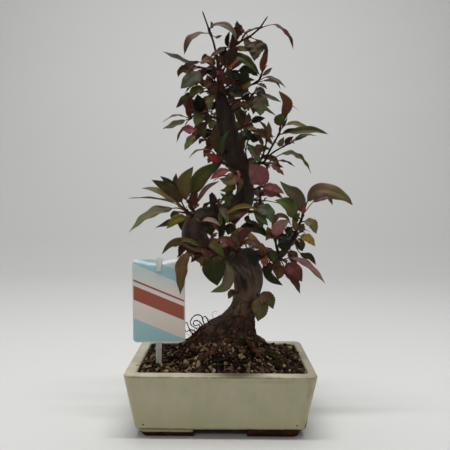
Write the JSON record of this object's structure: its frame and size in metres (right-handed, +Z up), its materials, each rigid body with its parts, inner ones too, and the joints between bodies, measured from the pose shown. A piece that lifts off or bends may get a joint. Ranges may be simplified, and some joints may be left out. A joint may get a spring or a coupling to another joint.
{
  "type": "potted bonsai tree",
  "caption": "Crabapple bonsai with an S-curved trunk and bronze and green leaves, in a rectangular glazed pot with soil and a plant label.",
  "frame": {"origin": "on the ground under the middle of the whole object's footprint", "axes": "+Z up along the tree's height, +X to the viewer's right across the pot's width, +Y away from the front"},
  "size_m": [0.2534, 0.1562, 0.4711],
  "materials": {
    "glaze": "glossy cream-green glaze, bare red-brown clay on the feet",
    "soil": "dark potting grit with bark chips and pebbles",
    "bark": "grey-brown bark, smooth on the limbs and rough at the base",
    "foliage": "satin leaves in olive, bronze, maroon and rose on brown twigs",
    "card": "printed gloss card",
    "clear_plastic": "clear moulded strip",
    "screen_plastic": "black plastic mesh"
  },
  "bodies": {
    "root": {"trunk": "bark", "pot": "glaze", "soil": "soil", "drain_screen_1": "screen_plastic", "drain_screen_2": "screen_plastic", "label_card": "card", "label_stake": "clear_plastic", "leader_shoot": "foliage", "crown_right_shoot": "foliage", "crown_left_shoot": "foliage", "crown_front_shoot": "foliage", "upper_right_shoot": "foliage", "inner_upper_shoot": "foliage", "left_upper_shoot": "foliage", "left_middle_shoot": "foliage", "left_lower_shoot": "foliage", "front_left_shoot": "foliage", "right_grey_shoot": "foliage", "right_dark_shoot": "foliage", "fan_upper_shoot": "foliage", "fan_lower_shoot": "foliage", "fan_inner_shoot": "foliage", "arching_shoot": "foliage", "rose_shoot": "foliage", "middle_shoot": "foliage", "limb_top_shoot": "foliage", "sage_shoot": "foliage", "under_limb_shoot": "foliage", "centre_shoot": "foliage", "right_tip_shoot": "foliage", "right_side_shoot": "foliage", "pink_shoot": "foliage", "right_low_shoot": "foliage", "knuckle_shoot": "foliage", "neck_shoot": "foliage", "left_low_shoot": "foliage", "hanging_shoot": "foliage", "front_low_shoot": "foliage", "knob_shoot": "foliage", "left_cluster_high": "foliage", "left_cluster_low": "foliage", "back_shoot_01": "foliage", "back_shoot_02": "foliage", "back_shoot_03": "foliage", "back_shoot_04": "foliage", "back_shoot_05": "foliage", "back_shoot_06": "foliage", "back_shoot_07": "foliage", "back_shoot_08": "foliage", "back_shoot_09": "foliage", "back_shoot_10": "foliage", "back_shoot_11": "foliage", "back_shoot_12": "foliage", "back_shoot_13": "foliage", "back_shoot_14": "foliage", "back_shoot_15": "foliage"}
  },
  "joints": []
}
